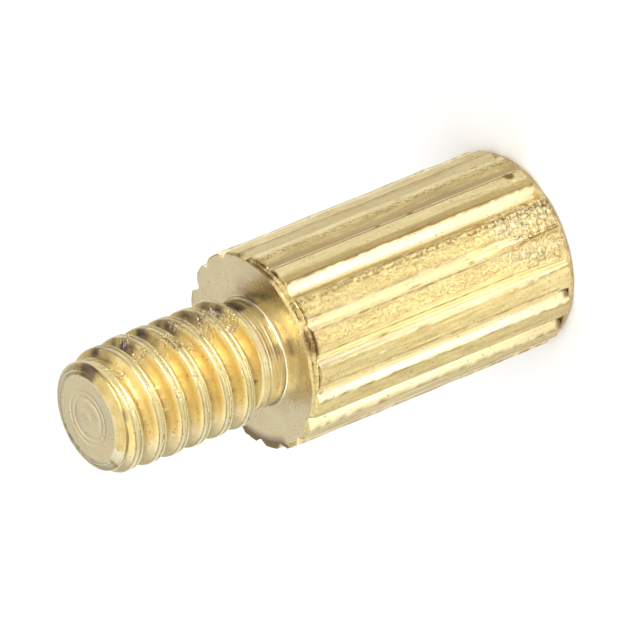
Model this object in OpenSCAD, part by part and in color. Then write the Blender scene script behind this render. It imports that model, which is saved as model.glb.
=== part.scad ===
// Round knurled standoff with a threaded stud on one end and a blind tapped hole in the other.
// It stands on its tapped end: the origin is the middle of that flat end and the stud points to +Z.

/* [Body] */
// Length of the round body, from its flat end to the shoulder
body_len = 4.8; // [4.2:0.1:20]
// Diameter over the knurl
body_d = 3; // [2.8:0.05:4]
// Chamfer around the shoulder
shoulder_chamfer = 0.1; // [0.05:0.01:0.15]
// Length of the plain rim at the tapped end
rim_len = 0.12; // [0.08:0.01:0.3]
// How far the plain rim stands below the knurl, on the radius
rim_drop = 0.06; // [0.03:0.01:0.08]
// Chamfer around the plain rim
rim_chamfer = 0.03; // [0.01:0.01:0.05]

/* [Knurl] */
// Number of straight grooves around the body
groove_count = 18; // [12:1:22]
// Width of one groove at the body's surface
groove_w = 0.25; // [0.18:0.01:0.3]
// Depth of one groove
groove_depth = 0.11; // [0.09:0.01:0.15]
// Width of the flat at the bottom of one groove
groove_floor_w = 0.04; // [0.02:0.01:0.08]

/* [Stud] */
// Length of the stud, from the shoulder to its tip
stud_len = 3; // [2:0.1:6]
// Length of the undercut between the shoulder and the thread
neck_len = 0.43; // [0.3:0.01:0.6]
// Diameter of the undercut
neck_d = 1.62; // [1.58:0.01:1.7]
// Length of the plain lead at the tip, with its chamfer
lead_len = 0.1; // [0.08:0.01:0.15]
// Diameter of the plain lead
lead_d = 1.64; // [1.6:0.01:1.7]
// Diameter of the flat tip
tip_d = 1.34; // [1.2:0.01:1.45]
// Length of the chamfer between the plain lead and the flat tip
tip_chamfer_len = 0.04; // [0.03:0.01:0.06]

/* [Stud thread] */
// Pitch of the thread
thread_pitch = 0.4; // [0.38:0.01:0.45]
// Diameter over the thread's crests
thread_d = 1.9; // [1.86:0.01:1.98]
// Diameter over the crest of the turn next to the tip
thread_start_d = 1.8; // [1.75:0.01:1.85]
// Diameter at the thread's roots
root_d = 1.54; // [1.5:0.01:1.56]
// Width of the flat at the thread's root
root_w = 0.05; // [0.04:0.01:0.07]

/* [Tapped hole] */
// Diameter of the hole's plain wall, as drilled for tapping
bore_d = 1.6; // [1.5:0.01:1.7]
// Depth of the hole at its full diameter
bore_depth = 3.3; // [2:0.1:3.8]
// Diameter of the countersink at the mouth of the hole
countersink_d = 2.1; // [1.9:0.05:2.4]

/* [Hidden] */

brass = "#d8b45a";
round_fn = 96;

// Cutters reach past the surface that they cut, and joined solids into each other, by this much
over = 0.05;

body_r = body_d / 2;
rim_r = body_r - rim_drop;
tip_z = body_len + stud_len;

// Included angle of the drill's point, and of the countersink
drill_point_angle = 118;
countersink_angle = 90;
bore_r = bore_d / 2;
countersink_r = countersink_d / 2;
countersink_h = (countersink_r - bore_r) / tan(countersink_angle / 2);
drill_point_h = bore_r / tan(drill_point_angle / 2);

// The thread is one ridge wound up a round core, with its foot sunk a little into the core
flank_angle = 30;
thread_z = body_len + neck_len;
core_r = root_d / 2;
crest_r = thread_d / 2;
start_crest_r = thread_start_d / 2;
foot_r = core_r - 0.03;
crest_w = thread_pitch - root_w - 2 * (crest_r - core_r) * tan(flank_angle);
foot_w = crest_w + 2 * (crest_r - foot_r) * tan(flank_angle);

// Places along the ridge are counted in turns from the shoulder, and whole turns lie at -Y
first_turn = (neck_len - foot_w / 2) / thread_pitch;
last_turn = (stud_len - lead_len) / thread_pitch;
steps_per_turn = 36;
ridge_steps = ceil((last_turn - first_turn) * steps_per_turn);

// Turns over which the crest falls to the diameter at the tip, and over which the ridge dies out
taper_turns = 2;
fade_turns = 0.25;
least_fade = 0.05;

// Turned blank of the body: plain rim, full diameter and chamfered shoulder
module body_blank() {
    rotate_extrude($fn = round_fn) polygon([
        [0, 0],
        [rim_r - rim_chamfer, 0],
        [rim_r, rim_chamfer],
        [rim_r, rim_len],
        [body_r, rim_len],
        [body_r, body_len - shoulder_chamfer],
        [body_r - shoulder_chamfer, body_len],
        [0, body_len],
    ]);
}

// Cutter for one groove of the knurl, from the plain rim out through the shoulder
module groove_cutter() {
    wall_slope = (groove_w - groove_floor_w) / 2 / groove_depth;
    mouth_half = groove_w / 2 + over * wall_slope;
    floor_half = groove_floor_w / 2;
    translate([0, 0, rim_len])
        linear_extrude(body_len - rim_len + over) polygon([
            [body_r - groove_depth, -floor_half],
            [body_r + over, -mouth_half],
            [body_r + over, mouth_half],
            [body_r - groove_depth, floor_half],
        ]);
}

// Cutter for the blind hole: countersink, plain wall and drill point
module hole_cutter() {
    rotate_extrude($fn = round_fn) polygon([
        [0, -over],
        [countersink_r + over * tan(countersink_angle / 2), -over],
        [bore_r, countersink_h],
        [bore_r, bore_depth],
        [0, bore_depth + drill_point_h],
    ]);
}

module body() {
    difference() {
        body_blank();
        for (i = [0 : groove_count - 1])
            rotate(360 * i / groove_count - 90) groove_cutter();
        hole_cutter();
    }
}

// Turned core of the stud: undercut, thread core, plain lead and chamfered tip
module stud_core() {
    rotate_extrude($fn = round_fn) polygon([
        [0, body_len - over],
        [neck_d / 2, body_len - over],
        [neck_d / 2, thread_z],
        [core_r, thread_z],
        [core_r, tip_z - lead_len],
        [lead_d / 2, tip_z - lead_len],
        [lead_d / 2, tip_z - tip_chamfer_len],
        [tip_d / 2, tip_z],
        [0, tip_z],
    ]);
}

// Turn number at a step along the ridge
function ridge_turn(i) = first_turn + (last_turn - first_turn) * i / ridge_steps;

// Share of the ridge's full size at a turn: it dies out at the tip
function ridge_fade(turn) = max(least_fade, min(1, (last_turn - turn) / fade_turns));

// Radius of the crest at a turn, before the ridge dies out
function ridge_crest_r(turn) =
    start_crest_r + (crest_r - start_crest_r) * min(1, (last_turn - turn) / taper_turns);

// Section of the ridge at a turn, as [radius, height] about its own middle
function ridge_section(turn) =
    let (
        fade = ridge_fade(turn),
        rise = ridge_crest_r(turn) - foot_r,
        foot_half = foot_w / 2 * fade,
        crest_half = (foot_w / 2 - rise * tan(flank_angle)) * fade,
        r = foot_r + rise * fade
    )
    [[foot_r, -foot_half], [r, -crest_half], [r, crest_half], [foot_r, foot_half]];

function ridge_points() = [
    for (i = [0 : ridge_steps])
        let (turn = ridge_turn(i), angle = 360 * turn - 90)
        for (p = ridge_section(turn))
            [p[0] * cos(angle), p[0] * sin(angle), body_len + thread_pitch * turn + p[1]]
];

function ridge_sides() = [
    for (i = [0 : ridge_steps - 1], k = [0 : 3])
        let (a = 4 * i + k, b = 4 * i + (k + 1) % 4)
        for (side = [[b + 4, a + 4, a], [b, b + 4, a]])
            side
];

// Helical ridge of the thread, from inside the undercut to the plain lead
module thread_ridge() {
    last = 4 * ridge_steps;
    polyhedron(
        points = ridge_points(),
        faces = concat([[3, 2, 1, 0]], ridge_sides(), [[last, last + 1, last + 2, last + 3]]),
        convexity = 10
    );
}

// The undercut takes away whatever the ridge has below its upper end
module stud() {
    stud_core();
    intersection() {
        thread_ridge();
        translate([0, 0, thread_z]) cylinder(r = crest_r + over, h = stud_len, $fn = round_fn);
    }
}

module standoff() {
    color(brass) union() {
        body();
        stud();
    }
}

standoff();
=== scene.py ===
# Round knurled standoff: fine mesh, brass finish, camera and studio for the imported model.
import math

import bmesh
import bpy
from mathutils import Matrix, Vector, noise


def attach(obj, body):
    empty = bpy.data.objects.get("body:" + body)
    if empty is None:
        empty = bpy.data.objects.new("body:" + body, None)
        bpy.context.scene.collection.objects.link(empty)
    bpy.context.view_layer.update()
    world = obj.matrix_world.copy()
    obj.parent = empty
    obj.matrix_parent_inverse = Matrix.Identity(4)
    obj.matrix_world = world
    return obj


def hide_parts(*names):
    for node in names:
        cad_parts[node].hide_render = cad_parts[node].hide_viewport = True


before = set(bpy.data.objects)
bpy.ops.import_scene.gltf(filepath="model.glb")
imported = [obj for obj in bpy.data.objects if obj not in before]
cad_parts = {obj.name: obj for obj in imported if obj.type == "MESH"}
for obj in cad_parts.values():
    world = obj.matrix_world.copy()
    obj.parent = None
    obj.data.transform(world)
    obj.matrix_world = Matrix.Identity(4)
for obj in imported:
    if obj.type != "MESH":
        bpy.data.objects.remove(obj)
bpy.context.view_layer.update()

# Without a seed, Blender takes the offsets of noise.noise_vector from the time of day.
NOISE_SEED = 1
noise.seed_set(NOISE_SEED)

# ----------------------------------------------------------
# Sizes in millimetres, as in the part's source. Bearings are angles about the axis in degrees:
# 0 is the -Y side, which faces the camera, and they grow towards -X.

MM = 0.001

BODY_LEN = 4.8
BODY_R = 1.5
RIM_LEN = 0.12
RIM_R = 1.44
RIM_CHAMFER = 0.03

STUD_LEN = 3.0
TIP_Z = BODY_LEN + STUD_LEN
NECK_LEN = 0.49
NECK_R = 0.81
LEAD_LEN = 0.1
LEAD_R = 0.82
TIP_R = 0.655

PITCH = 0.4
CREST_R = 0.95
START_CREST_R = 0.9
ROOT_R = 0.77
THREAD_Z = BODY_LEN + NECK_LEN
THREAD_END_Z = TIP_Z - LEAD_LEN
LAST_TURN = (STUD_LEN - LEAD_LEN) / PITCH

BORE_R = 0.8
BORE_DEPTH = 3.3
COUNTERSINK_R = 1.05
DRILL_POINT_ANGLE = 118
DRILL_POINT_H = BORE_R / math.tan(math.radians(DRILL_POINT_ANGLE / 2))

# Unevenness of the metal, by kind: how much, the size of its lumps in millimetres, and where
# it is taken from in the noise, so that no two kinds run alike.
UNEVEN = {
    "land": (0.004, 0.5, 2.0),
    "groove": (0.035, 0.5, 5.0),
    "lip": (0.9, 0.35, 11.0),
    "pit": (1.0, 0.06, 21.0),
    "edge": (0.010, 0.22, 31.0),
    "dent": (0.8, 0.07, 33.0),
    "rim": (0.0025, 0.3, 41.0),
    "thread": (0.004, 0.12, 51.0),
    "nick": (1.0, 0.05, 52.0),
    "neck_ring": (0.009, 0.035, 61.0),
    "neck_line": (0.004, 0.012, 62.0),
    "mottle": (1.0, 0.1, 71.0),
    "burr": (1.0, 0.2, 72.0),
    "patch": (0.9, 0.16, 75.0),
    "torn": (1.0, 0.25, 77.0),
    "streak": (1.1, 0.04, 78.0),
    "fine_line": (1.0, 0.03, 79.0),
}


# ----------------------------------------------------------
# Small helpers

def at(radius, bearing, z):
    """The point at a radius, bearing and height, in millimetres."""
    b = math.radians(bearing)
    return (-radius * math.sin(b), -radius * math.cos(b), z)


def direction(bearing, elevation):
    """The unit vector away from the axis at a bearing and an elevation."""
    e = math.radians(elevation)
    return Vector(at(math.cos(e), bearing, math.sin(e)))


def aimed(target, away, distance):
    """The matrix, in metres, of something that faces a target from a distance in millimetres."""
    turn = away.to_track_quat("Z", "Y").to_matrix().to_4x4()
    return Matrix.Translation((target + away * distance) * MM) @ turn


def held(x):
    """x, held between 0 and 1."""
    return min(1.0, max(0.0, x))


def smooth(x, low, high):
    """0 below low, 1 above high, and a smooth step between."""
    t = held((x - low) / (high - low))
    return t * t * (3 - 2 * t)


def fade(x, low, high):
    """1 below low, 0 above high, and a smooth step between."""
    return 1 - smooth(x, low, high)


def bump_at(x, centre, width):
    """A bell of height 1 about a centre."""
    return math.exp(-((x - centre) / width) ** 2)


def within(x, low, high, soft):
    """1 between low and high, falling to 0 over a soft margin outside them."""
    return smooth(x, low - soft, low) * fade(x, high, high + soft)


def uneven(kind, radius, bearing, z, shift=0):
    """Noise at a place on the metal, as its kind says. A shift gives another of the same kind."""
    amount, size, seed = UNEVEN[kind]
    seed += shift
    place = Vector(at(radius, bearing, z)) / size
    return amount * noise.noise(place + Vector((seed, seed * 0.7, seed * 1.3)))


def uneven_along(kind, z, shift=0):
    """Noise that changes with the height only."""
    return uneven(kind, 0.0, 0.0, z, shift)


def turn_apart(a, b):
    """The signed angle from b to a, from -180 to 180 degrees."""
    return (a - b + 180) % 360 - 180


def wall_mm(angle):
    """The length along the wall of an angle about the axis."""
    return math.radians(angle) * BODY_R


def wall_angle(length):
    """The angle about the axis of a length along the wall."""
    return math.degrees(length / BODY_R)


def place_on_part(point):
    """Bearing, radius and height of a point."""
    x, y, z = point
    return math.degrees(math.atan2(-x, -y)), math.hypot(x, y), z


def by_bearing(ring, bearings):
    """A ring and its bearings from 0 to 360 degrees, in rising order."""
    order = sorted(range(len(bearings)), key=lambda n: bearings[n] % 360)
    return [ring[n] for n in order], [bearings[n] % 360 for n in order]


def even_bearings(columns):
    return [360 * n / columns for n in range(columns)]


def add_object(name, data):
    """A new object in the scene."""
    made = bpy.data.objects.new(name, data)
    bpy.context.collection.objects.link(made)
    return made


# ----------------------------------------------------------
# The mesh

SLOT_NAMES = ("turned", "neck", "flank", "crest", "land", "groove", "cut")
SLOTS = {name: n for n, name in enumerate(SLOT_NAMES)}
SHARP_ANGLE = 38
# Decimals of a millimetre to which two points that fall together agree.
POINT_DIGITS = 5


class Skin:
    """Collects points and faces in millimetres and makes one closed mesh of them."""

    def __init__(self):
        self.points = []
        self.known = {}
        self.faces = []
        self.slots = []

    def point(self, place):
        """The number of the point at a place; points that fall together are one."""
        key = tuple(round(c, POINT_DIGITS) for c in place)
        if key not in self.known:
            self.known[key] = len(self.points)
            self.points.append(place)
        return self.known[key]

    def ring(self, places):
        """The numbers of the points at some places."""
        return [self.point(place) for place in places]

    def face(self, corners, slot):
        """A face, unless its corners fall together."""
        corners = [c for n, c in enumerate(corners) if c != corners[n - 1]]
        if len(corners) > 2:
            self.faces.append(corners)
            self.slots.append(slot)

    def band(self, low, high, slot):
        """Joins two closed rings that have as many points. slot may be a list, one a column."""
        for i in range(len(low)):
            j = (i + 1) % len(low)
            kind = slot[i] if isinstance(slot, list) else slot
            self.face((low[i], low[j], high[j], high[i]), kind)

    def bands(self, first, rings, slot):
        """Joins a ring to some further rings, one after another, and gives the last."""
        for ring in rings:
            self.band(first, ring, slot)
            first = ring
        return first

    def cap(self, ring, centre, slot):
        """Closes a ring with a fan of faces about a centre."""
        c = self.point(centre)
        n = len(ring)
        for i in range(n):
            self.face((ring[i], ring[(i + 1) % n], c), slot)

    def stitch(self, ring_a, bearings_a, ring_b, bearings_b, slot):
        """Joins two rings whose points lie at different bearings, both in rising order."""
        na, nb = len(ring_a), len(ring_b)
        i = j = 0
        while i < na or j < nb:
            next_a = bearings_a[(i + 1) % na] + 360 * ((i + 1) // na)
            next_b = bearings_b[(j + 1) % nb] + 360 * ((j + 1) // nb)
            a, b = ring_a[i % na], ring_b[j % nb]
            if j >= nb or (i < na and next_a <= next_b):
                self.face((a, ring_a[(i + 1) % na], b), slot)
                i += 1
            else:
                self.face((a, ring_b[(j + 1) % nb], b), slot)
                j += 1

    def turn_faces_out(self, mesh):
        """Makes all faces look outwards, and prints how many edges are open."""
        work = bmesh.new()
        work.from_mesh(mesh)
        bmesh.ops.recalc_face_normals(work, faces=work.faces)
        open_edges = sum(not e.is_manifold for e in work.edges)
        triangles = sum(len(f.verts) - 2 for f in work.faces)
        print("open edges:", open_edges, "triangles:", triangles)
        work.to_mesh(mesh)
        work.free()

    def build(self, name, materials, painted):
        """The finished object. painted names the amounts that its points carry."""
        mesh = bpy.data.meshes.new(name)
        mesh.from_pydata([tuple(c * MM for c in p) for p in self.points], [], self.faces)
        for material in materials:
            mesh.materials.append(material)
        mesh.polygons.foreach_set("material_index", self.slots)
        self.turn_faces_out(mesh)
        mesh.shade_smooth()
        mesh.set_sharp_from_angle(angle=math.radians(SHARP_ANGLE))
        for label, amount in painted.items():
            mesh.attributes.new(label, "FLOAT", "POINT")
            values = [amount(*place_on_part(p)) for p in self.points]
            mesh.attributes[label].data.foreach_set("value", values)
        return add_object(name, mesh)


def even_ring(skin, radius, z, columns):
    """A round ring of evenly spaced points."""
    return skin.ring([at(radius, bearing, z) for bearing in even_bearings(columns)])


def even_rings(skin, profile, columns):
    """A round ring for each radius and height of a profile."""
    return [even_ring(skin, radius, z, columns) for radius, z in profile]


def helix_wall(skin, columns, stations, z_low, z_high, radius, slot_at):
    """A wall whose rows follow a right-hand thread, cut off level at both ends."""
    first = math.floor((z_low - BODY_LEN) / PITCH)
    last = math.ceil((z_high - BODY_LEN) / PITCH) + 1
    levels = [turn * PITCH + s for turn in range(first, last + 1) for s in stations]
    grid = []
    for bearing in even_bearings(columns):
        heights = [BODY_LEN + level - PITCH * bearing / 360 for level in levels]
        heights = [min(z_high, max(z_low, z)) for z in heights]
        grid.append(skin.ring([at(radius(bearing, z), bearing, z) for z in heights]))
    for n in range(columns):
        here, there = grid[n], grid[(n + 1) % columns]
        shift = len(stations) if n == columns - 1 else 0
        for row in range(len(levels) - 1):
            a, b = max(0, row - shift), max(0, row + 1 - shift)
            slot = slot_at(stations[row % len(stations)])
            skin.face((here[row], there[a], there[b], here[row + 1]), slot)
    return [column[0] for column in grid], [column[-1] for column in grid]


# ----------------------------------------------------------
# Camera: the part stands on its tapped end, and the camera is rolled so that it seems to lie.

CAMERA_DISTANCE = 218.2
CAMERA_ELEVATION = 31.86
CAMERA_ROLL = -112.17
CAMERA_CLIP_M = (0.01, 10)
PIXELS_PER_MM = 69.12
IMAGE_PX = 640
SENSOR_MM = 36
AIM = (0.0515, 0.0, 3.547)


def add_camera():
    data = bpy.data.cameras.new("camera")
    data.sensor_width = SENSOR_MM
    data.lens = PIXELS_PER_MM * CAMERA_DISTANCE * SENSOR_MM / IMAGE_PX
    data.clip_start, data.clip_end = CAMERA_CLIP_M
    camera = add_object("camera", data)
    roll = Matrix.Rotation(math.radians(CAMERA_ROLL), 4, "Z")
    camera.matrix_world = aimed(Vector(AIM), direction(0, CAMERA_ELEVATION), CAMERA_DISTANCE) @ roll
    bpy.context.scene.camera = camera


# ----------------------------------------------------------
# Grooves, rolled into a turned blank and a little uneven as on the real part

GROOVES = 18
GROOVE_STEP = 360 / GROOVES
# Groove by groove, from the one on the -Y side: how far it strays from its even place in degrees,
# its half width in millimetres, and how far its walls lean from its middle plane in degrees.
GROOVE_STRAY = (-1.1, -0.3, -0.3, 0.9, 1.5, 1.5, 1.0, 0.5, 0.0,
                -0.5, -1.2, -2.0, -3.0, -3.0, -2.6, -2.2, -3.1, -2.8)
GROOVE_HALF = (0.102, 0.106, 0.141, 0.152, 0.128, 0.125, 0.122, 0.126, 0.130,
               0.124, 0.127, 0.122, 0.125, 0.128, 0.125, 0.124, 0.084, 0.145)
GROOVE_LEAN = (50, 50, 59, 43, 50, 50, 52, 48, 50, 50, 52, 50, 48, 50, 50, 50, 58, 50)
# A groove's flat floor, as a share of the groove's width.
GROOVE_FLOOR = 0.16
LEAST_DEPTH = 0.004

# Grooves that fade out towards the tapped end: the share of the width that is left there, and
# the heights between which it comes back.
FADING_GROOVES = {0: (0.16, 0.35, 1.25), 1: (0.62, 0.2, 0.95)}
# The groove that widens towards the shoulder: by what share, and between which heights.
FLARED_GROOVE = 12
FLARE = 0.5
FLARE_Z = (BODY_LEN - 0.7, BODY_LEN - 0.1)

# Columns across a groove, as shares of its half width. Those past 1 carry the burr beside it.
STATIONS = (-1.34, -1.15, -1.0, -0.72, -0.44, -0.16, 0.16, 0.44, 0.72, 1.0, 1.15, 1.34)
LAND_COLUMNS = 20

# The burr's height, its least and mean share, and its share on the outermost columns and
# inside the groove.
LIP = 0.008
LEAST_LIP = 0.1
MEAN_LIP = 0.8
LIP_FOOT = 0.25
LIP_INSIDE = 0.3
# The groove and the side of it that have next to no burr.
SMOOTH_LIP = (16, 1)


def groove_opening(k, z):
    """1 where a groove is open, less where it fades out towards the tapped end."""
    if k not in FADING_GROOVES:
        return 1.0
    left, low, high = FADING_GROOVES[k]
    return left + (1 - left) * smooth(z, low, high)


def groove_bearing(k):
    return GROOVE_STEP * k + GROOVE_STRAY[k]


def groove_half(k, z):
    """Half the width of a groove at a height, in millimetres."""
    waver = 1 + uneven_along("groove", z, k)
    if k == FLARED_GROOVE:
        waver += FLARE * smooth(z, *FLARE_Z)
    return GROOVE_HALF[k] * groove_opening(k, z) * waver


def groove_depth(k, z):
    """The depth follows from the width and the lean of the walls."""
    wall = groove_half(k, z) * (1 - GROOVE_FLOOR)
    return max(LEAST_DEPTH, wall / math.tan(math.radians(GROOVE_LEAN[k])))


def lip_height(k, side, z):
    """The burr that the knurl raised along a groove's lower (0) or higher (1) bearing."""
    if (k, side) == SMOOTH_LIP:
        return LEAST_LIP * LIP
    return LIP * max(LEAST_LIP, MEAN_LIP + uneven_along("lip", z, 2 * k + side))


# ----------------------------------------------------------
# The wall between the grooves: slow waves, scales and cracks near the tapped end, and pits

# Cracked patches near the tapped end: middle bearing, half width and strength.
CRACKED_PATCHES = ((-11, 8.0, 1.0), (9, 7.0, 0.6))
CRACKED_SOFT = 3.0
CRACKED_Z = (0.85, 1.35)
# How cracked the wall is all round, and between which heights that fades out.
CRACKED_ROUND = 0.25
CRACKED_ROUND_Z = (0.3, 1.6)
LEAST_CRACKLE = 0.01

# Scales between the cracks: width, height, how crooked they are and how fine the crooks are.
SCALE_WIDTH = 0.085
SCALE_HEIGHT = 0.10
SCALE_BEND = 0.35
SCALE_BENDS = 1.7
# How far a scale leans along the axis and about it, and how deep and wide the cracks are.
SCALE_TILT = 0.011
TILT_ALONG = 0.8
TILT_ABOUT = 0.4
FOLD_DEPTH = 0.010
FOLD_WIDTH = 0.35

PIT_DEPTH = 0.010
PIT_RANGE = (0.52, 0.72)


def crackle(bearing, z):
    """How cracked the wall is: most near the tapped end on the camera's side."""
    patches = [strength * fade(abs(turn_apart(bearing, middle)), half, half + CRACKED_SOFT)
               for middle, half, strength in CRACKED_PATCHES]
    return fade(z, *CRACKED_Z) * max(patches) + CRACKED_ROUND * fade(z, *CRACKED_ROUND_Z)


def folds(bearing, z):
    """How far the leaning scales and the cracks between them stand out of the wall."""
    strength = crackle(bearing, z)
    if strength <= LEAST_CRACKLE:
        return 0.0
    p = Vector((wall_mm(turn_apart(bearing, 0)) / SCALE_WIDTH, z / SCALE_HEIGHT, 0.5))
    p += SCALE_BEND * Vector(noise.noise_vector(p * SCALE_BENDS))
    distances, middles = noise.voronoi(p)
    crack = fade(distances[1] - distances[0], 0.0, FOLD_WIDTH)
    tilt = (p - middles[0]).y * TILT_ALONG + (p - middles[0]).x * TILT_ABOUT
    return strength * (-SCALE_TILT * tilt - FOLD_DEPTH * crack)


def pits(bearing, z):
    """Small dents, scattered over the lands."""
    return -PIT_DEPTH * smooth(uneven("pit", BODY_R, bearing, z), *PIT_RANGE)


def land_radius(bearing, z):
    waves = uneven("land", BODY_R, bearing, z)
    return BODY_R + waves + folds(bearing, z) + pits(bearing, z)


def groove_columns(k, z):
    """Bearings, radii and slots of the columns across a groove and its burrs."""
    half = wall_angle(groove_half(k, z))
    depth = groove_depth(k, z)
    columns = []
    for t in STATIONS:
        bearing = groove_bearing(k) + t * half
        land = land_radius(bearing, z)
        lip = lip_height(k, int(t > 0), z)
        inside = min(1.0, (1 - abs(t)) / (1 - GROOVE_FLOOR))
        if inside < 0:
            foot = abs(t) == STATIONS[-1]
            columns.append((bearing, land + lip * (LIP_FOOT if foot else 1.0), "land"))
        else:
            lip *= LIP_INSIDE
            columns.append((bearing, land + lip * (1 - inside) - depth * inside, "groove"))
    return columns


def land_columns(k, z):
    """Bearings, radii and slots of the columns of the land that follows a groove."""
    after = (k + 1) % GROOVES
    start = groove_bearing(k) + STATIONS[-1] * wall_angle(groove_half(k, z))
    end = groove_bearing(after) + (360 if after == 0 else 0)
    end += STATIONS[0] * wall_angle(groove_half(after, z))
    steps = range(1, LAND_COLUMNS + 1)
    bearings = [start + (end - start) * n / (LAND_COLUMNS + 1) for n in steps]
    return [(bearing, land_radius(bearing, z), "land") for bearing in bearings]


def wall_ring(z):
    """Bearings, radii and slots of the columns of the fluted wall at a height."""
    ring = []
    for k in range(GROOVES):
        ring += groove_columns(k, z) + land_columns(k, z)
    return ring


# ----------------------------------------------------------
# The shoulder's edge, rolled over and dented

# The wall ends this far below the shoulder's face, which is more than any bevel's height.
EDGE_HEIGHT = 0.145
# The edge round the part: bearing, radial inset and height of the bevel.
EDGE = ((-180, 0.045, 0.035), (-160, 0.045, 0.035), (-137, 0.050, 0.030), (-115, 0.035, 0.024),
        (-84, 0.026, 0.024), (-65, 0.040, 0.045), (-51, 0.075, 0.085), (-38, 0.090, 0.125),
        (-18, 0.120, 0.140), (4, 0.125, 0.140), (25, 0.150, 0.110), (40, 0.110, 0.055),
        (62, 0.100, 0.030), (79, 0.045, 0.024), (95, 0.075, 0.020), (113, 0.120, 0.014),
        (138, 0.110, 0.014), (158, 0.060, 0.030), (180, 0.045, 0.035))
# How far along the bevel each of its rings lies, and how far it is pressed in.
EDGE_RINGS = ((0.0, 0.0), (0.06, 0.028), (0.14, 0.034), (0.24, 0.004), (0.36, -0.006),
              (0.48, 0.004), (0.55, 0.020), (0.63, 0.020), (0.72, -0.002), (0.86, -0.004),
              (0.94, 0.0), (1.0, 0.0))
# A bevel of this height or more is pressed in fully.
FULL_BEVEL = 0.1


def shoulder_form(bearing):
    """Radial inset and height of the bevel on the shoulder's edge."""
    turned = turn_apart(bearing, 0)
    last = EDGE[0]
    for now in EDGE[1:]:
        if turned <= now[0]:
            break
        last = now
    share = smooth(turned, last[0], now[0])
    inset = last[1] + (now[1] - last[1]) * share
    height = last[2] + (now[2] - last[2]) * share
    return inset + uneven("edge", BODY_R, bearing, BODY_LEN), height


def edge_ring(skin, top, share, pressed):
    """One ring of the bevel, nowhere outside the wall's last ring."""
    places = []
    for bearing, radius, kind in top:
        inset, height = shoulder_form(bearing)
        rough = 1 + uneven("dent", BODY_R, bearing, BODY_LEN + share)
        edge = BODY_R - inset * share - pressed * rough * min(1.0, height / FULL_BEVEL)
        places.append(at(min(radius, edge), bearing, BODY_LEN - height * (1 - share)))
    return skin.ring(places)


# ----------------------------------------------------------
# Body

# The wall's rows from the rim up: fine ones near the tapped end, coarse ones, and some more
# up to just below the shoulder's edge.
FINE_ROWS, FINE_STEP = 38, 0.028
COARSE_ROWS, COARSE_STEP = 32, 0.1
END_ROWS = 7
EDGE_GAP = 0.005

# Radius and height of the rings from the grooves' ends to the flat face of the tapped end.
RIM_PROFILE = ((RIM_R + 0.01, RIM_LEN - 0.004), (RIM_R, RIM_LEN - 0.02), (RIM_R, RIM_CHAMFER),
               (RIM_R - 0.01, 0.01), (RIM_R - RIM_CHAMFER, 0.0), (1.32, 0.0))


def wall_rows():
    """Heights of the wall's rows: close together near both ends."""
    rows = [RIM_LEN + FINE_STEP * n for n in range(FINE_ROWS + 1)]
    rows += [rows[-1] + COARSE_STEP * n for n in range(1, COARSE_ROWS + 1)]
    step = (BODY_LEN - EDGE_HEIGHT - EDGE_GAP - rows[-1]) / END_ROWS
    return rows + [rows[-1] + step * n for n in range(1, END_ROWS + 1)]


def wall_slots(kinds):
    """The slots of the wall's columns of faces: those beside a land belong to it."""
    slots = []
    for n, kind in enumerate(kinds):
        after = kinds[(n + 1) % len(kinds)]
        slots.append(SLOTS["land" if "land" in (kind, after) else "groove"])
    return slots


def add_wall(skin):
    """The fluted wall and the bevel: its lowest and highest ring and the latter's bearings."""
    rings = [skin.ring([at(r, b, z) for b, r, s in wall_ring(z)]) for z in wall_rows()]
    top = wall_ring(BODY_LEN - EDGE_HEIGHT)
    edge = [edge_ring(skin, top, share, pressed) for share, pressed in EDGE_RINGS]
    last = skin.bands(rings[0], rings[1:] + edge[:1], wall_slots([s for b, r, s in top]))
    last = skin.bands(last, edge[1:], SLOTS["land"])
    return rings[0], last, [b for b, r, s in top]


def add_rim(skin, wall, bearings):
    """The plain rim beyond the grooves' ends, and the outer part of the flat face."""
    rings = []
    for radius, z in RIM_PROFILE:
        rings.append(skin.ring([at(radius + uneven("rim", radius, b, z) * (z > 0), b, z)
                                for b in bearings]))
    return skin.bands(wall, rings, SLOTS["turned"])


# ----------------------------------------------------------
# Stud. Its thread's stations are distances from the middle of a crest along the axis, with how
# deep the thread is there. The small notch in each crest is the seam that rolling leaves.

STUD_COLUMNS = 192
CREST_STATIONS = ((-0.170, 0.172), (-0.142, 0.140), (-0.112, 0.085), (-0.088, 0.032),
                  (-0.076, 0.009), (-0.060, 0.001), (-0.044, 0.000), (-0.030, 0.005),
                  (-0.019, 0.016), (-0.008, 0.015), (0.004, 0.004), (0.022, 0.000),
                  (0.048, 0.001), (0.068, 0.006), (0.082, 0.022), (0.110, 0.080),
                  (0.145, 0.142), (0.200, 0.180))
# Rows of faces that start between these stations are the crest's.
CREST_SPAN = (-0.083, 0.081)
# The crest tapers over this many turns, and the thread's form fades over this last share.
TAPER_TURNS = 2
FADE_TURNS = 0.3
NICK_DEPTH = 0.012
NICK_RANGE = (0.45, 0.7)

# The shoulder's face: how far its margin lies inside the edge, the last ring that follows the
# edge's columns, the first even ring, and the rings from there to the neck.
FACE_MARGIN = 0.010
FACE_OUTER_R = 1.27
FACE_EVEN_R = 1.24
FACE_RINGS = (1.16, 1.1, 1.05, 1.0, 0.96, 0.91, 0.87, 0.835)

# The fillet at the neck's foot, and the heights between which the neck's turned rings lie.
FOOT_R = NECK_R + 0.010
FOOT_H = 0.008
NECK_START = 0.024
NECK_RINGS = 30
NECK_DROP = 0.004

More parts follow.
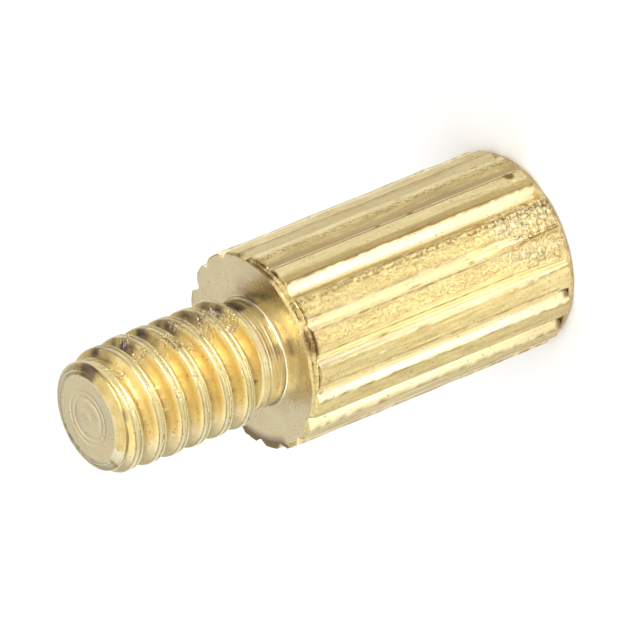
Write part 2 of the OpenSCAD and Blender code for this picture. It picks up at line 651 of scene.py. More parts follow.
# Radius and depth below the tip of the rings of the turned chamfer, of the tip's rounded edge
# and of the rings that the parting tool left on the tip.
CHAMFER_RINGS = ((LEAD_R + 0.010, 0.096), (LEAD_R + 0.004, 0.085), (LEAD_R, 0.070),
                 (LEAD_R - 0.012, 0.058), (0.795, 0.050), (0.785, 0.053), (0.765, 0.043),
                 (0.757, 0.038), (0.735, 0.036), (0.722, 0.024), (0.707, 0.025), (0.690, 0.014),
                 (TIP_R + 0.006, 0.006))
TIP_RINGS = ((TIP_R - 0.004, 0.004), (TIP_R - 0.014, 0.003), (0.60, 0.003), (0.45, 0.003),
             (0.422, 0.002), (0.408, 0.007), (0.392, 0.003), (0.335, 0.003), (0.322, 0.007),
             (0.308, 0.004), (0.2, 0.006), (0.1, 0.008), (0.06, 0.005), (0.03, 0.003))
TIP_CENTRE_DROP = 0.001


def thread_depth(offset):
    """Depth below the crest at a distance from the crest's middle, from -0.2 to 0.2 mm."""
    last = (CREST_STATIONS[-1][0] - PITCH, CREST_STATIONS[-1][1])
    for station in CREST_STATIONS:
        if offset <= station[0]:
            share = (offset - last[0]) / (station[0] - last[0])
            return last[1] + (station[1] - last[1]) * share
        last = station
    return last[1]


def crest_offset(bearing, z):
    """How far a point is from the middle of the nearest crest, along the axis."""
    climb = z - BODY_LEN + PITCH * bearing / 360
    return climb - PITCH * round(climb / PITCH)


def crest_radius(turns):
    """The thread tapers over its last turns."""
    share = held((LAST_TURN - turns) / TAPER_TURNS)
    return START_CREST_R + (CREST_R - START_CREST_R) * share


def thread_radius(bearing, z):
    offset = crest_offset(bearing, z)
    turns = (z - offset - BODY_LEN) / PITCH
    crest = crest_radius(turns)
    body = crest - thread_depth(offset) * (crest - ROOT_R) / (CREST_R - ROOT_R)
    body += (LEAD_R - body) * smooth(turns, LAST_TURN - FADE_TURNS, LAST_TURN)
    waves = uneven("thread", START_CREST_R, bearing, z)
    nick = -NICK_DEPTH * smooth(uneven("nick", START_CREST_R, bearing, z), *NICK_RANGE)
    return body + waves + nick


def thread_slot(offset):
    """The slot of the row of faces that starts at a station."""
    low, high = CREST_SPAN
    return SLOTS["crest" if low <= offset < high else "flank"]


def add_shoulder(skin, edge, bearings):
    """The shoulder's face, from its uneven edge in to the foot of the neck."""
    edge, bearings = by_bearing(edge, bearings)
    even = even_ring(skin, FACE_EVEN_R, BODY_LEN, STUD_COLUMNS)
    radii = [math.hypot(*skin.points[n][:2]) - FACE_MARGIN for n in edge]
    margin = skin.ring([at(r, b, BODY_LEN) for r, b in zip(radii, bearings)])
    near = skin.ring([at(FACE_OUTER_R, b, BODY_LEN) for b in bearings])
    skin.bands(edge, (margin, near), SLOTS["turned"])
    skin.stitch(near, bearings, even, even_bearings(STUD_COLUMNS), SLOTS["turned"])
    profile = [(radius, BODY_LEN) for radius in FACE_RINGS]
    return skin.bands(even, even_rings(skin, profile, STUD_COLUMNS), SLOTS["turned"])


def neck_profile():
    """Radius and height of the rings that the tool left on the neck."""
    profile = []
    for n in range(NECK_RINGS + 1):
        h = NECK_START + (NECK_LEN - NECK_START) * n / NECK_RINGS
        waver = uneven_along("neck_ring", h) + uneven_along("neck_line", h)
        profile.append((NECK_R + waver - NECK_DROP, BODY_LEN + h))
    return profile


def below_tip(rings):
    """Radius and height of rings given by their depth below the tip."""
    return [(radius, TIP_Z - depth) for radius, depth in rings]


def add_stud(skin, foot):
    """The neck, the thread and the tip."""
    fillet = even_ring(skin, FOOT_R, BODY_LEN + FOOT_H, STUD_COLUMNS)
    skin.band(foot, fillet, SLOTS["turned"])
    neck = even_rings(skin, neck_profile(), STUD_COLUMNS)
    last = skin.bands(fillet, neck, SLOTS["neck"])
    offsets = [offset for offset, depth in CREST_STATIONS]
    low, high = helix_wall(skin, STUD_COLUMNS, offsets, THREAD_Z, THREAD_END_Z,
                           thread_radius, thread_slot)
    skin.band(last, low, SLOTS["neck"])
    chamfer = even_rings(skin, below_tip(CHAMFER_RINGS), STUD_COLUMNS)
    last = skin.bands(high, chamfer, SLOTS["cut"])
    tip = even_rings(skin, below_tip(TIP_RINGS), STUD_COLUMNS)
    last = skin.bands(last, tip, SLOTS["turned"])
    skin.cap(last, at(0, 0, TIP_Z - TIP_CENTRE_DROP), SLOTS["turned"])


# ----------------------------------------------------------
# Tapped hole

BORE_COLUMNS = 96
BORE_TOP = BORE_DEPTH - 0.35
BORE_STATIONS = (-0.15, -0.1, -0.05, 0.0, 0.05, 0.1, 0.15, 0.2)
COUNTERSINK_DEPTH = COUNTERSINK_R - BORE_R
# How deep the tap cuts, over which distances from a crest, and where its cut starts and ends.
TAP_DEPTH = 0.17
TAP_RANGE = (0.02, 0.17)
TAP_START = (0.25, 0.42)
TAP_END = (BORE_TOP - 0.5, BORE_TOP)
# The last ring of the flat face, and the countersink's rings with its edges rounded.
END_FACE_R = 1.2
COUNTERSINK_RINGS = ((COUNTERSINK_R + 0.01, 0.0), (COUNTERSINK_R - 0.01, 0.01),
                     (BORE_R + 0.01, COUNTERSINK_DEPTH - 0.01), (BORE_R, COUNTERSINK_DEPTH))


def bore_radius(bearing, z):
    """The tapped hole's wall: the thread is cut outwards from the drilled hole."""
    cut = TAP_DEPTH * smooth(PITCH / 2 - abs(crest_offset(bearing, z)), *TAP_RANGE)
    ends = smooth(z, *TAP_START) * fade(z, *TAP_END)
    return BORE_R + cut * ends


def add_hole(skin, face, bearings):
    """The countersink, the tapped hole and its drill point, from the ring on the end face."""
    face, bearings = by_bearing(face, bearings)
    even = even_ring(skin, END_FACE_R, 0.0, BORE_COLUMNS)
    skin.stitch(face, bearings, even, even_bearings(BORE_COLUMNS), SLOTS["turned"])
    sink = skin.bands(even, even_rings(skin, COUNTERSINK_RINGS, BORE_COLUMNS), SLOTS["turned"])
    low, high = helix_wall(skin, BORE_COLUMNS, BORE_STATIONS, COUNTERSINK_DEPTH, BORE_TOP,
                           bore_radius, lambda offset: SLOTS["cut"])
    skin.band(sink, low, SLOTS["cut"])
    deep = even_ring(skin, BORE_R, BORE_DEPTH, BORE_COLUMNS)
    skin.band(high, deep, SLOTS["cut"])
    skin.cap(deep, at(0, 0, BORE_DEPTH + DRILL_POINT_H), SLOTS["cut"])


# ----------------------------------------------------------
# Stains, painted shade and painted highlights, scuffs and cracks, painted on the points and read by
# the finishes. A stretch is its first and last bearing and its soft margin in degrees, and a span
# is two heights or radii.

# Long marks on the wall, partly streaks in the metal and partly painted shade and highlights where
# it mirrors darker and brighter surroundings: first and last bearing, and how dark, or with a
# minus how pale.
WALL_MARKS_AND_PAINTED_LIGHT = ((-67, -63, 0.5), (-61, -54.5, -0.35), (-50.5, -47.0, 0.25), (-46.0, -43.6, 0.8),
         (-40.0, -34.8, -0.2), (-33.0, -29.6, 0.45), (-29.2, -28.6, 0.6),
         (-20.4, -17.9, 0.75), (-5.5, -4.9, 0.2), (2.3, 2.9, 0.2), (11.8, 14.4, 0.3),
         (20.3, 20.9, 0.5), (22.5, 23.1, 0.5), (70, 90, 0.2), (128, 134, 0.3),
         (148, 153, -0.3), (171, 175, 0.3), (-152, -147, 0.35), (-108, -103, 0.3))
MARK_SOFT = 0.7
# Places along the shoulder's edge, partly stains and partly painted shade and highlights: first
# and last bearing, and how dark or pale.
EDGE_STAINS_AND_PAINTED_LIGHT = ((-66, -38, 0.85), (-34, -2, -0.5), (3, 14, 0.9), (18, 34, -0.4), (96, 146, 0.85))
EDGE_STAIN_SOFT = 4
# Spots: bearing, height, half width and half height in millimetres, and how dark or pale.
SPOTS = ((-39.6, 0.35, 0.08, 0.09, 2.0), (-57.2, 0.64, 0.03, 0.08, 1.0),
         (0.3, 1.68, 0.03, 0.08, 0.9), (0.6, 2.74, 0.02, 0.09, 0.7),
         (23.6, 2.85, 0.02, 0.09, 0.8), (28.4, 3.57, 0.02, 0.08, -1.0),
         (11, 7.70, 0.20, 0.03, 0.55), (58, 7.42, 0.05, 0.035, 0.8), (80, 7.76, 0.10, 0.04, 0.8),
         (55, 5.32, 0.06, 0.04, 0.9), (62, 5.28, 0.06, 0.03, 0.9), (33, 5.37, 0.06, 0.04, 0.7),
         (166, 7.79, 0.20, 0.04, 0.8), (150, 7.79, 0.10, 0.04, 0.7),
         (-178, 7.79, 0.12, 0.04, 0.5))
SPOT_RANGE = (0.5, 1.2)

# The grooves' dark edges: their width, and where the lamp side keeps them fainter.
GROOVE_EDGE_MM = 0.012
FAINT_EDGES = (-80, -34, 4)
# Painted shade in the cracks and pits: where a scale or crack starts to look dark, and how fast
# that and a pit grow dark with depth.
FOLD_SHADE_START = 0.005
FOLD_SHADE_RATE = 75
PIT_SHADE_RATE = 40
# A painted highlight over the cracked scales.
CRACKLE_HIGHLIGHT = 0.47
# The dark streak beside the groove that fades out, and painted shade in the ends of the lower
# grooves, darker where they are deeper.
FADED_STREAK = (-0.6, 2.0, 0.9)
FADED_STREAK_Z = (0.8, 1.5)
GROOVE_END_SHADE = (26, 80, 5)
GROOVE_END_SHADE_Z = (0.15, 0.26)
GROOVE_END_SHADE_DEPTH = (0.02, 0.05)

# The bevel's two dark lines, painted shade in its two pressed-in creases, as a place along it and
# a width, and the smear above it.
BEVEL_CREASE_SHADE = ((0.10, 0.08), (0.59, 0.07))
BEVEL_CREASE_SHADE_STRETCH = (-38, 36, 4)
SMEAR = (98, 138, 6)
SMEAR_R = (1.3, 1.4)
# Painted shade in the corner at the neck's foot, broken into streaks, fine lines round the neck,
# and a smudge on the face.
NECK_FOOT_SHADE = (-70, -52, 8)
NECK_FOOT_SHADE_R = (0.88, 1.02)
NECK_LINES = (-14, 14, 8)
NECK_LINES_LOW = (BODY_LEN + 0.01, BODY_LEN + 0.03)
NECK_LINES_HIGH = (BODY_LEN + 0.32, BODY_LEN + 0.4)
NECK_LINES_RANGE = (0.05, 0.3)
FACE_SMUDGE = (5, 13, 6)
FACE_SMUDGE_R = (0.99, 0.11)

# The tip's edge and the stud's sides: painted shade on the dark side and painted highlights on the
# pale side, for the darker and brighter surroundings that the metal mirrors. Distances from a
# crest's middle say where its flanks and the painted shade in its root are.
TIP_SHADE = (-64, -46, 8)
TIP_HIGHLIGHT = ((-180, -84, 12), (60, 180, 12))
STUD_SHADE = (-78, -56, 12)
STUD_HIGHLIGHT = (58, 120, 16)
ROOT_SHADE = (-30, 30, 15)
ROOT_SHADE_LINE = (-0.19, 0.02)
CREST_TOP = (-0.04, 0.06, 0.04)

# Torn metal: pits on the stud's flanks, which its finish paints as pale glints, along three of the
# wall's lands and near the tapped end.
STUD_TORN = (-66, -32, 8)
STUD_TORN_END = (TIP_Z - 0.2, TIP_Z - 0.1)
TORN_RANGE = (-0.1, 0.4)
EDGE_TORN = (-17.0, -14.4, 1.2)
EDGE_TORN_Z = (0.6, 3.0)
TOP_TORN = (-53.5, -51, 1.0)
MIDDLE_TORN = ((-14, -6, 1), (4, 12, 1))
END_TORN = (-20, 14, 3)
END_TORN_Z = (0.2, 1.4)

# Heights and radii that tell the stud, the neck and the wall apart.
STUD_STAIN_Z = THREAD_Z + 0.05
NECK_STAIN_R = 1.2
WALL_R = 1.3
FACE_GAP = 0.01
CRACKED_R = BODY_R - 0.04


def groove_edge(bearing, z):
    """1 at the nearest groove's edges, 0 a little away from them."""
    k = round(bearing / GROOVE_STEP) % GROOVES
    aside = abs(turn_apart(bearing, groove_bearing(k)))
    return bump_at(wall_mm(aside), groove_half(k, z), GROOVE_EDGE_MM)


def spots(bearing, z):
    """The dark and pale spots together."""
    total = 0.0
    for place, height, half_width, half_height, depth in SPOTS:
        along = wall_mm(turn_apart(bearing, place)) / half_width
        total += depth * fade(math.hypot(along, (z - height) / half_height), *SPOT_RANGE)
    return total


def edge_marks_and_painted_light(bearing, radius, z):
    """Edge blotches, partly painted light; painted shade in the bevel's creases; a smear."""
    height = shoulder_form(bearing)[1]
    share = 1 - (BODY_LEN - z) / height
    mottle = held(0.8 + uneven("mottle", radius, bearing, z))
    # Partly stains, partly painted shade and highlights.
    blotch = sum(depth * within(bearing, low, high, EDGE_STAIN_SOFT)
                 for low, high, depth in EDGE_STAINS_AND_PAINTED_LIGHT)
    # Painted shade in the bevel's two pressed-in creases.
    lines = sum(bump_at(share, *line) for line in BEVEL_CREASE_SHADE)
    lines *= within(bearing, *BEVEL_CREASE_SHADE_STRETCH) * (0.7 + uneven("burr", radius, bearing, z))
    below_face = smooth(BODY_LEN - z, 0.0, 0.001)
    smear = 0.9 * within(bearing, *SMEAR) * smooth(radius, *SMEAR_R)
    return max(smear, (blotch * mottle + lines) * below_face)


def neck_marks_and_painted_shade(bearing, radius, z):
    """Painted shade at the neck's foot on the +X side, fine lines at its front, and a smudge."""
    # Painted shade in the corner at the neck's foot, broken into streaks.
    dark = within(bearing, *NECK_FOOT_SHADE) * fade(radius, *NECK_FOOT_SHADE_R)
    dark *= 0.75 + uneven_along("streak", z + 0.5 * radius)
    lines = smooth(uneven_along("fine_line", z), *NECK_LINES_RANGE) * within(bearing, *NECK_LINES)
    on_neck = smooth(z, *NECK_LINES_LOW) * fade(z, *NECK_LINES_HIGH)
    smudge = 0.7 * within(bearing, *FACE_SMUDGE) * bump_at(radius, *FACE_SMUDGE_R)
    return dark + 0.6 * lines * on_neck + smudge * (z < BODY_LEN + FACE_GAP)


def tip_painted_light(bearing, radius):
    """Painted shade on one side of the tip's edge, painted highlight on the rest."""
    edge = smooth(radius, TIP_R - 0.01, TIP_R)
    # Painted highlight on the rest of the edge.
    pale = 0.5 * sum(within(bearing, *stretch) for stretch in TIP_HIGHLIGHT)
    return edge * (0.8 * within(bearing, *TIP_SHADE) - pale)


def stud_painted_light(bearing, radius, z):
    """Painted shade at +X and in the front roots, most on the flanks; painted highlight at -X."""
    if z > THREAD_END_Z:
        return tip_painted_light(bearing, radius)
    offset = crest_offset(bearing, z)
    flank = 1 - within(offset, *CREST_TOP)
    patch = held(0.55 + uneven("patch", radius, bearing, z))
    # Painted shade in patches on the +X side.
    dark = 1.15 * within(bearing, *STUD_SHADE) * patch
    # Painted shade in the front roots.
    root = 0.35 * within(bearing, *ROOT_SHADE) * bump_at(offset, *ROOT_SHADE_LINE)
    return (dark + root) * (0.35 + 0.65 * flank) - 0.3 * within(bearing, *STUD_HIGHLIGHT)


def wall_marks_and_painted_light(bearing, radius, z):
    """Marks, groove edges, and painted shade and highlights in cracks, pits and groove ends."""
    mottle = held(0.5 + uneven("mottle", radius, bearing, z))
    # Long marks, partly streaks and partly painted shade and highlights.
    amount = sum(depth * within(bearing, low, high, MARK_SOFT) for low, high, depth in WALL_MARKS_AND_PAINTED_LIGHT)
    amount += groove_edge(bearing, z) * (0.9 - 0.65 * within(bearing, *FAINT_EDGES)) * mottle
    # Painted shade, darker where the cracks and pits are deeper.
    amount += FOLD_SHADE_RATE * max(0.0, -folds(bearing, z) - FOLD_SHADE_START)
    amount += PIT_SHADE_RATE * max(0.0, -pits(bearing, z))
    # A painted highlight over the cracked scales.
    amount -= CRACKLE_HIGHLIGHT * crackle(bearing, z)
    amount += 0.6 * within(bearing, *FADED_STREAK) * fade(z, *FADED_STREAK_Z)
    # Painted shade in the deep ends of the lower grooves.
    end = within(bearing, *GROOVE_END_SHADE) * smooth(BODY_R - radius, *GROOVE_END_SHADE_DEPTH)
    return amount + 1.2 * end * fade(z, *GROOVE_END_SHADE_Z) + spots(bearing, z)


def stain_and_painted_light(bearing, radius, z):
    """How dark from stains and painted shade, 0 to 1, or how pale from painted highlights, 0 to -1.
    """
    if z > STUD_STAIN_Z:
        spotted = spots(bearing, z) * smooth(radius, TIP_R - 0.03, TIP_R - 0.005)
        return min(1.0, stud_painted_light(bearing, radius, z) + spotted)
    if radius < NECK_STAIN_R and z > BODY_LEN - FACE_GAP:
        return min(1.0, neck_marks_and_painted_shade(bearing, radius, z))
    if radius < NECK_STAIN_R or z < RIM_LEN:
        return 0.0
    if z > BODY_LEN - EDGE_HEIGHT:
        return min(1.0, edge_marks_and_painted_light(bearing, radius, z))
    return min(1.0, wall_marks_and_painted_light(bearing, radius, z))


def cracks(bearing, radius, z):
    """How strongly the cracks between the scales show, from 0 to 1."""
    on_wall = RIM_LEN < z < BODY_LEN - EDGE_HEIGHT and radius > CRACKED_R
    return min(1.0, crackle(bearing, z)) if on_wall else 0.0


def scuff(bearing, radius, z):
    """How torn up the metal is in small pits, from 0 to 1; on the flanks, painted glints."""
    if z > THREAD_Z:
        patch = smooth(uneven("torn", radius, bearing, z), *TORN_RANGE)
        return 0.8 * patch * within(bearing, *STUD_TORN) * fade(z, *STUD_TORN_END)
    if radius < WALL_R or z > BODY_LEN - 2 * FACE_GAP:
        return 0.0
    edge = within(bearing, *EDGE_TORN) * (0.65 + 0.35 * fade(z, *EDGE_TORN_Z))
    top = 0.7 * within(bearing, *TOP_TORN)
    middle = 0.3 * sum(within(bearing, *stretch) for stretch in MIDDLE_TORN)
    near_end = 0.35 * fade(z, *END_TORN_Z) * within(bearing, *END_TORN)
    return max(edge, top, near_end, middle)


# ----------------------------------------------------------
# Finishes: one brass, as each tool left it, with stains, painted shade and painted highlights

# Dark colours of stains and painted shade for the stud and the wall; pale colour of painted
# highlights.
STUD_STAIN_AND_SHADE_COLOUR = (0.14, 0.09, 0.07)
WALL_STAIN_AND_SHADE_COLOUR = (0.21, 0.13, 0.05)
PALE_HIGHLIGHT_COLOUR = (0.84, 0.79, 0.56)
# Pale painted glints in the pits on the stud's flanks.
GLINT_COLOUR = (0.97, 0.93, 0.78)
# Dark specks and torn metal, and the painted shade in the cracks.
SPECK_AND_CRACK_SHADE_COLOUR = (0.38, 0.23, 0.08)

# The weight of the grain beside the blotches, and the range of their sum over which the brass
# goes from deep and rough to bright and glossy.
GRAIN_WEIGHT = 0.5
BLEND_RANGE = (0.55, 0.95)
# Specks, scuffs and cracks: their size, the values of the noise at which they begin and are
# full, how far they turn the colour, which in the cracks is painted shade, and how deep they are.
SPECK_MM = 0.05
SPECK_RANGE = (0.675, 0.72)
SPECK_SHARE = 0.7
SCUFF_MM = 0.048
SCUFF_RANGE = (0.47, 0.62)
SCUFF_RELIEF_MM = 0.034
CRACK_MM = 0.12
CRACK_BEND_MM = 0.084
CRACK_EDGES = (0.01, 0.09)
CRACK_OPEN_RANGE = (0.42, 0.58)
CRACK_RELIEF_MM = 0.024
CRACK_SHADE_SHARE = 0.45


def node(tree, kind, feeds=None, **settings):
    """A new node with its settings, its socket values and the sockets that feed it."""
    made = tree.nodes.new(kind)
    for key, value in settings.items():
        if key in made.inputs:
            made.inputs[key].default_value = value
        else:
            setattr(made, key, value)
    for key, source in (feeds or {}).items():
        tree.links.new(source, made.inputs[key])
    return made


def map_range(tree, source, low, high, to_low=0.0, to_high=1.0):
    """A socket's value, moved from one range to another and held there."""
    ends = {"From Min": low, "From Max": high, "To Min": to_low, "To Max": to_high}
    return node(tree, "ShaderNodeMapRange", {"Value": source}, **ends).outputs["Result"]


def noise_at(tree, place, sizes_mm, detail=3.0):
    """Noise whose lumps have about the given sizes in millimetres along x, y and z."""
    scaled = node(tree, "ShaderNodeVectorMath", {0: place}, operation="DIVIDE")
    scaled.inputs[1].default_value = tuple(size * MM for size in sizes_mm)
    made = node(tree, "ShaderNodeTexNoise", {"Vector": scaled.outputs[0]},
                Scale=1.0, Detail=detail, Roughness=0.6)
    return made.outputs["Fac"]


def colour_mix(tree, share):
    """A new mix of two colours by a share from 0 to 1: its two inputs and its output."""
    made = node(tree, "ShaderNodeMix", {"Factor": share}, data_type="RGBA")
    first, second = [socket for socket in made.inputs if socket.type == "RGBA"]
    mixed = [socket for socket in made.outputs if socket.type == "RGBA"][0]
    return first, second, mixed


def mix_colours(tree, share, low, high):
    """A colour socket between two given colours."""
    first, second, mixed = colour_mix(tree, share)
    first.default_value = (*low, 1)
    second.default_value = (*high, 1)
    return mixed


def tint(tree, share, colour, tinted):
    """A colour socket turned towards another colour by a share from 0 to 1."""
    first, second, mixed = colour_mix(tree, share)
    tree.links.new(colour, first)
    second.default_value = (*tinted, 1)
    return mixed


def product(tree, first, second):
    return node(tree, "ShaderNodeMath", {0: first, 1: second}, operation="MULTIPLY").outputs[0]


def add_up(tree, first, second, weight):
    """The first socket's value plus the second's times a weight."""
    made = node(tree, "ShaderNodeMath", {0: second, 2: first}, operation="MULTIPLY_ADD")
    made.inputs[1].default_value = weight
    return made.outputs[0]


def painted_amount(tree, label):
    """An amount that the mesh's points carry."""
    return node(tree, "ShaderNodeAttribute", attribute_name=label).outputs["Fac"]


def cracks_at(tree, place):
    """1 in the cracks between crooked scales, 0 on the scales."""
    bends = node(tree, "ShaderNodeTexNoise", {"Vector": place}, Scale=1 / (CRACK_MM * MM))
    bent = node(tree, "ShaderNodeVectorMath", {0: bends.outputs["Color"], 2: place},
                operation="MULTIPLY_ADD")
    bent.inputs[1].default_value = (CRACK_BEND_MM * MM,) * 3
    scales = node(tree, "ShaderNodeTexVoronoi", {"Vector": bent.outputs[0]},
                  feature="DISTANCE_TO_EDGE", Scale=1 / (CRACK_MM * MM))
    gaps = map_range(tree, scales.outputs["Distance"], *CRACK_EDGES, 1.0, 0.0)
    open_share = map_range(tree, noise_at(tree, place, (CRACK_MM,) * 3), *CRACK_OPEN_RANGE)
    return product(tree, gaps, open_share)


def lathe_place(tree, where):
    """Distance from the axis and height, for grain that runs round the axis."""
    split = node(tree, "ShaderNodeSeparateXYZ", {0: where})
    flat = node(tree, "ShaderNodeCombineXYZ", {"X": split.outputs["X"], "Y": split.outputs["Y"]})
    length = node(tree, "ShaderNodeVectorMath", {0: flat.outputs[0]}, operation="LENGTH")
    around = node(tree, "ShaderNodeCombineXYZ",
                  {"X": length.outputs["Value"], "Z": split.outputs["Z"]})
    return around.outputs[0]


def draw_out_gloss(tree, shader, strength):
    """Draws the gloss out across the grain that runs round the axis."""
    tangent = node(tree, "ShaderNodeTangent", direction_type="RADIAL", axis="Z")
    tree.links.new(tangent.outputs[0], shader.inputs["Tangent"])
    shader.inputs["Anisotropic"].default_value = strength


def with_stains_and_painted_light(tree, colour, where, stain_and_shade_colour):
    """A colour socket with stains and painted shade, painted highlights and fine specks."""
    # Stains and painted shade darken the brass, painted highlights make it pale.
    stain_and_light_amount = painted_amount(tree, "stain_and_painted_light")
    colour = tint(tree, map_range(tree, stain_and_light_amount, 0.0, 1.0), colour, stain_and_shade_colour)
    colour = tint(tree, map_range(tree, stain_and_light_amount, 0.0, -1.0), colour, PALE_HIGHLIGHT_COLOUR)
    specks = noise_at(tree, where, (SPECK_MM,) * 3, 1.0)
    return tint(tree, map_range(tree, specks, *SPECK_RANGE, 0.0, SPECK_SHARE), colour,
                SPECK_AND_CRACK_SHADE_COLOUR)


def finish(name, deep, bright, rough, spread, grain_mm, relief_mm,
           blotch_mm=(0.25, 0.25, 0.25), blotch_relief_mm=0.0, rings=0.0,
           stain_and_shade_colour=STUD_STAIN_AND_SHADE_COLOUR, torn_and_glint_colour=SPECK_AND_CRACK_SHADE_COLOUR, cracked=False):
    """Brass between a deep and a bright colour, with blotches, fine grain and tool marks.

    grain_mm and blotch_mm are sizes along x, y and z. With rings above 0 the grain runs
    round the axis, as a lathe leaves it, and its gloss is drawn out across the grain.
    """
    material = bpy.data.materials.new(name)
    material.use_nodes = True
    tree = material.node_tree
    shader = tree.nodes["Principled BSDF"]
    shader.inputs["Metallic"].default_value = 1.0
    where = node(tree, "ShaderNodeTexCoord").outputs["Object"]
    if rings:
        draw_out_gloss(tree, shader, rings)
    fine = noise_at(tree, lathe_place(tree, where) if rings else where, grain_mm)
    blotch = noise_at(tree, where, blotch_mm)
    both = add_up(tree, blotch, fine, GRAIN_WEIGHT)
    pitted = map_range(tree, noise_at(tree, where, (SCUFF_MM,) * 3, 2.0), *SCUFF_RANGE)
    torn = product(tree, pitted, painted_amount(tree, "scuff"))

    colour = mix_colours(tree, map_range(tree, both, *BLEND_RANGE), deep, bright)
    colour = with_stains_and_painted_light(tree, colour, where, stain_and_shade_colour)
    # Torn pits: dark specks, and on the stud's flanks painted glints.
    colour = tint(tree, torn, colour, torn_and_glint_colour)
    relief = add_up(tree, fine, blotch, blotch_relief_mm / relief_mm)
    relief = add_up(tree, relief, torn, -SCUFF_RELIEF_MM / relief_mm)
    if cracked:
        # The cracks' dark lines are painted shade.
        gaps = product(tree, cracks_at(tree, where), painted_amount(tree, "cracks"))
        crack_shade = map_range(tree, gaps, 0.0, 1.0, 0.0, CRACK_SHADE_SHARE)
        colour = tint(tree, crack_shade, colour, SPECK_AND_CRACK_SHADE_COLOUR)
        relief = add_up(tree, relief, gaps, -CRACK_RELIEF_MM / relief_mm)
    gloss = map_range(tree, both, *BLEND_RANGE, rough + spread, rough - spread)
    bump = node(tree, "ShaderNodeBump", {"Height": relief}, Strength=1.0,
                Distance=relief_mm * MM)
    tree.links.new(colour, shader.inputs["Base Color"])
    tree.links.new(gloss, shader.inputs["Roughness"])
    tree.links.new(bump.outputs[0], shader.inputs["Normal"])
    return material


def finishes():
    """One for each slot, in the order of SLOT_NAMES."""
    fine = (0.04, 0.04, 0.04)
    drawn = (0.03, 0.03, 0.5)
    return [
        finish("brass_turned", (0.61, 0.485, 0.26), (0.66, 0.545, 0.305), 0.27, 0.05,
               (0.035, 0.035, 0.035), 0.002, rings=0.5),
        finish("brass_neck", (0.74, 0.62, 0.35), (0.86, 0.78, 0.54), 0.20, 0.06,
               (0.012, 0.012, 0.012), 0.003, rings=0.4),
        # Its torn pits are painted as pale glints.
        finish("brass_flank", (0.70, 0.52, 0.19), (0.78, 0.61, 0.26), 0.42, 0.07, fine, 0.002,
               torn_and_glint_colour=GLINT_COLOUR),
        finish("brass_crest", (0.59, 0.475, 0.22), (0.69, 0.585, 0.30), 0.30, 0.07, fine, 0.003),
        finish("brass_land", (0.51, 0.39, 0.165), (0.71, 0.59, 0.275), 0.36, 0.08,
               (0.035, 0.035, 0.05), 0.006, (0.07, 0.07, 0.6), 0.008,
               stain_and_shade_colour=WALL_STAIN_AND_SHADE_COLOUR, cracked=True),
        # Paler than the lands: a painted highlight for the bright floor that the groove walls
        # mirror.
        finish("brass_groove", (0.82, 0.68, 0.36), (0.94, 0.84, 0.54), 0.20, 0.05,
               drawn, 0.002, (0.08, 0.08, 1.0), stain_and_shade_colour=WALL_STAIN_AND_SHADE_COLOUR),
        finish("brass_cut", (0.53, 0.39, 0.145), (0.64, 0.505, 0.22), 0.34, 0.06, fine, 0.003),
    ]


# ----------------------------------------------------------
# The piece

def make_standoff():
    skin = Skin()
    wall_low, wall_high, bearings = add_wall(skin)
    foot = add_shoulder(skin, wall_high, bearings)
    add_stud(skin, foot)
    low_bearings = [b for b, r, s in wall_ring(RIM_LEN)]
    face = add_rim(skin, wall_low, low_bearings)
    add_hole(skin, face, low_bearings)
    painted = {"stain_and_painted_light": stain_and_painted_light, "scuff": scuff, "cracks": cracks}
    piece = skin.build("standoff_brass", finishes(), painted)
    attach(piece, "root")
    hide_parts("standoff")


# ----------------------------------------------------------
# Studio: a pale floor, a pale sky and soft lamps

FLOOR_HALF_M = 2.0
FLOOR_COLOUR = (0.9, 0.9, 0.9)
FLOOR_ROUGHNESS = 0.9
SKY_COLOUR = (1.0, 1.0, 1.0)
SKY_STRENGTH = 0.22

# Bearing, elevation, width and height in degrees, brightness and colour of each softbox.
LAMPS = (
    ("top", 60, 84, 92, 92, 1.24, (1.0, 1.0, 1.0)),
    ("front", -18, 8, 44, 13, 13.5, (1.0, 0.98, 0.94)),
    ("fill", 0, 34, 90, 28, 0.9, (1.0, 1.0, 1.0)),
    ("left", 88, 32, 76, 30, 0.75, (1.0, 1.0, 1.0)),
    ("right", -88, 32, 76, 30, 0.55, (1.0, 1.0, 1.0)),
    ("back", 155, 34, 68, 27, 0.90, (0.76, 0.83, 1.0)),
    ("low_back", -140, 8, 60, 18, 0.7, (1.0, 1.0, 1.0)),
)
LAMP_DISTANCE = 320

# Soft pools of light along lines on the floor in front of the part, which the grooves mirror:
# the bearing of each line and how bright its pools are, then the pools' distances from the part
# and their radius over that distance. Their lamps hang at a bearing, an elevation and a distance.
POOL_LINES = ((22, 1.9), (-10, 1.3))
POOL_DISTANCES = (2.1, 2.9, 4.0, 5.4, 7.1)
POOL_SPREAD = 0.34
POOL_LAMP = (30, 72, 100)
POOL_LAMP_R = 0.5


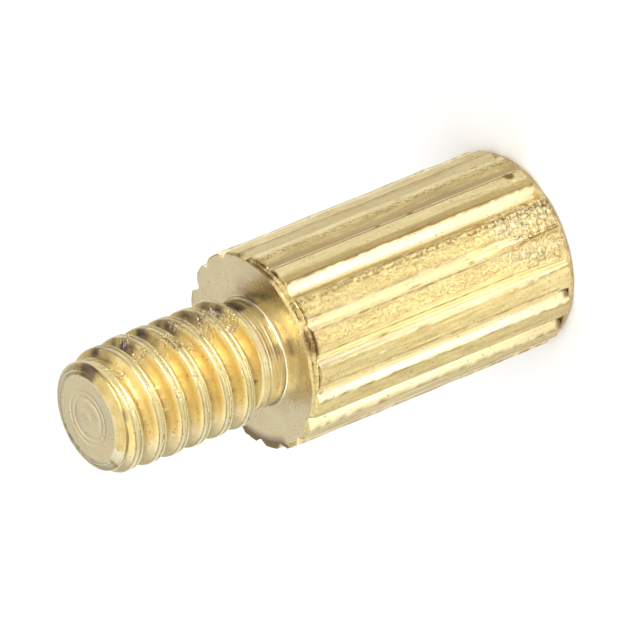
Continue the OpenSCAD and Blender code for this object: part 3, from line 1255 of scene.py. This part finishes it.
def add_floor():
    half = FLOOR_HALF_M
    mesh = bpy.data.meshes.new("floor")
    corners = [(-half, -half, 0), (half, -half, 0), (half, half, 0), (-half, half, 0)]
    mesh.from_pydata(corners, [], [(0, 1, 2, 3)])
    paint = bpy.data.materials.new("floor_paint")
    paint.use_nodes = True
    shader = paint.node_tree.nodes["Principled BSDF"]
    shader.inputs["Base Color"].default_value = (*FLOOR_COLOUR, 1)
    shader.inputs["Roughness"].default_value = FLOOR_ROUGHNESS
    shader.inputs["Specular IOR Level"].default_value = 0.0
    mesh.materials.append(paint)
    floor = add_object("floor", mesh)


def add_sky():
    world = bpy.data.worlds.new("sky")
    world.use_nodes = True
    background = world.node_tree.nodes["Background"]
    background.inputs["Color"].default_value = (*SKY_COLOUR, 1)
    background.inputs["Strength"].default_value = SKY_STRENGTH
    bpy.context.scene.world = world


def lamp_side(angle):
    """The side, in metres, of a lamp that fills an angle at LAMP_DISTANCE."""
    return 2 * LAMP_DISTANCE * math.tan(math.radians(angle / 2)) * MM


def add_lamp(name, bearing, elevation, width, height, brightness, colour):
    """A softbox that faces the middle of the part."""
    data = bpy.data.lights.new(name, "AREA")
    data.shape = "RECTANGLE"
    data.color = colour
    data.size = lamp_side(width)
    data.size_y = lamp_side(height)
    data.energy = brightness * math.pi * data.size * data.size_y
    lamp = add_object(name, data)
    middle = Vector((0, 0, TIP_Z / 2))
    lamp.matrix_world = aimed(middle, direction(bearing, elevation), LAMP_DISTANCE)


def add_pool(bearing, brightness, away):
    """A narrow lamp that brightens a patch of the floor, which the grooves mirror."""
    lamp_bearing, elevation, distance = POOL_LAMP
    slant = math.sin(math.radians(elevation))
    data = bpy.data.lights.new("pool", "SPOT")
    data.spot_size = 2 * math.atan(away * POOL_SPREAD / distance)
    data.spot_blend = 1.0
    data.shadow_soft_size = POOL_LAMP_R * MM
    data.energy = brightness * math.pi * 4 * math.pi * (distance * MM) ** 2 / slant
    lamp = add_object("pool", data)
    patch = Vector(at(away, bearing, 0))
    lamp.matrix_world = aimed(patch, direction(lamp_bearing, elevation), distance)


add_camera()
add_floor()
add_sky()
for lamp in LAMPS:
    add_lamp(*lamp)
for line_bearing, line_brightness in POOL_LINES:
    for pool_distance in POOL_DISTANCES:
        add_pool(line_bearing, line_brightness, pool_distance)
make_standoff()

bpy.context.scene.view_settings.view_transform = "Standard"
